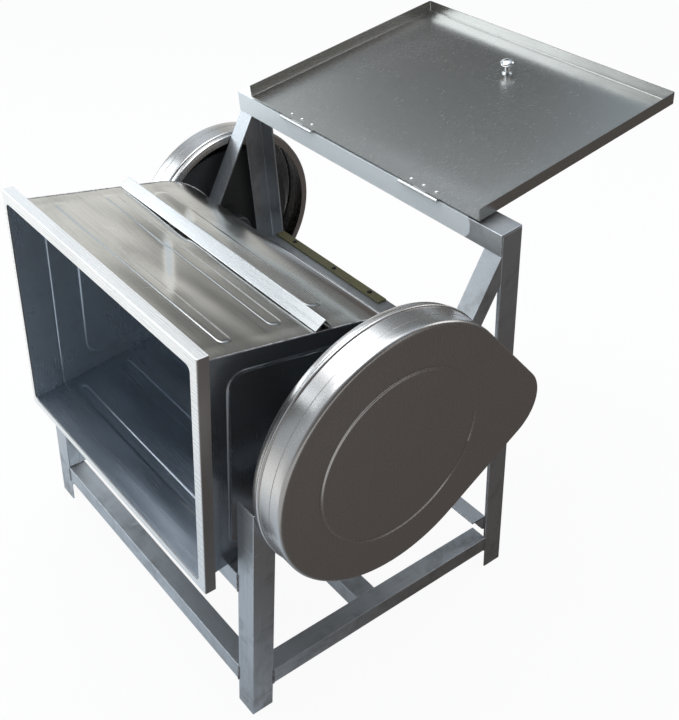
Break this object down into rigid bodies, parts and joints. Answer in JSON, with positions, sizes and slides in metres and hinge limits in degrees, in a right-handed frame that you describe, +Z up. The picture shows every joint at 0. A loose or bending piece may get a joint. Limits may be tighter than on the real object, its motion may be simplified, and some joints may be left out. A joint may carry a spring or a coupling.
{
  "type": "tilting dough mixer",
  "caption": "Horizontal dough mixer with a tipping trough, paddle shaft, gear and belt drive under pan covers, and a hinged tray lid, on an angle-iron stand.",
  "frame": {"origin": "on the floor under the middle of the whole mixer, with the trough tipped and the lid folded back", "axes": "+X along the shafts to the gear cover's side, +Y to the back, +Z up"},
  "size_m": [0.791, 0.9308, 0.8608],
  "materials": {
    "angle_steel": "brushed angle iron with mill scale at the welds",
    "cover_sheet": "brushed stainless sheet",
    "trough_sheet": "bright rolled stainless sheet",
    "rim_steel": "bright folded stainless rim",
    "lid_sheet": "bright rolled stainless sheet",
    "knob_chrome": "polished",
    "strip": "olive, matt",
    "belt_rubber": "matt black",
    "cast_iron": "machined and as-cast faces",
    "motor_paint": "grey-blue paint, satin",
    "fan_plastic": "black",
    "machined_steel": "machined"
  },
  "bodies": {
    "stand": {"hinge_frame_leaf_left": "machined_steel", "hinge_pin_left": "machined_steel", "hinge_frame_leaf_right": "machined_steel", "hinge_pin_right": "machined_steel", "top_crossbar": "angle_steel", "front_leg_right": "angle_steel", "rear_leg_right": "angle_steel", "front_leg_left": "angle_steel", "rear_leg_left": "angle_steel", "front_stretcher": "angle_steel", "rear_stretcher": "angle_steel", "motor_crossmember": "angle_steel", "trough_stop_bar": "angle_steel", "rear_support_bar": "angle_steel", "right_stretcher": "angle_steel", "right_shaft_rail": "angle_steel", "left_stretcher": "angle_steel", "left_shaft_rail": "angle_steel", "right_brace": "angle_steel", "left_brace": "angle_steel", "buffer_strip": "strip", "strip_screw_1": "machined_steel", "strip_screw_2": "machined_steel", "strip_screw_3": "machined_steel", "mixing_shaft_bearing_right": "cast_iron", "countershaft_bearing_right": "cast_iron", "mixing_shaft_bearing_left": "cast_iron", "countershaft_bearing_left": "cast_iron", "gear_cover": "cover_sheet", "belt_cover": "cover_sheet", "drive_belt_1": "belt_rubber", "drive_belt_2": "belt_rubber", "motor_plate": "angle_steel", "motor_body": "motor_paint", "motor_fan_cover": "motor_paint", "terminal_box": "motor_paint"},
    "trough": {"trough_wrapper": "trough_sheet", "trough_end_right": "trough_sheet", "trough_end_left": "trough_sheet", "trough_rim": "rim_steel", "trough_stiffener": "machined_steel", "trough_hub_right": "machined_steel", "trough_hub_left": "machined_steel"},
    "agitator": {"mixing_shaft": "machined_steel", "large_gear": "cast_iron", "paddle_1": "machined_steel", "paddle_2": "machined_steel", "paddle_3": "machined_steel", "paddle_4": "machined_steel"},
    "countershaft": {"countershaft": "machined_steel", "pinion": "cast_iron", "big_pulley": "cast_iron"},
    "motor_rotor": {"motor_shaft": "machined_steel", "motor_pulley": "cast_iron", "motor_fan": "fan_plastic"},
    "lid": {"hinge_lid_leaf_left": "machined_steel", "hinge_lid_leaf_right": "machined_steel", "lid_tray": "lid_sheet", "lid_knob": "knob_chrome"}
  },
  "joints": [
    {"name": "trough_tip", "type": "hinge", "parent": "stand", "child": "trough", "pos_m": [0, -0.20935, 0.494], "axis": [1, 0, 0], "range_deg": [-90, 0]},
    {"name": "agitator_spin", "type": "hinge", "parent": "stand", "child": "agitator", "pos_m": [0, -0.20935, 0.494], "axis": [1, 0, 0], "continuous": true},
    {"name": "countershaft_spin", "type": "hinge", "parent": "stand", "child": "countershaft", "pos_m": [0, 0.00631, 0.482], "axis": [1, 0, 0], "continuous": true},
    {"name": "motor_spin", "type": "hinge", "parent": "stand", "child": "motor_rotor", "pos_m": [0, -0.02235, 0.17], "axis": [1, 0, 0], "continuous": true},
    {"name": "lid_fold", "type": "hinge", "parent": "stand", "child": "lid", "pos_m": [0, 0.02325, 0.75495], "axis": [1, 0, 0], "range_deg": [0, 169.5]}
  ],
  "couplings": [
    {"joint": "countershaft_spin", "follows": "agitator_spin", "ratio": -5},
    {"joint": "motor_spin", "follows": "agitator_spin", "ratio": -25}
  ]
}
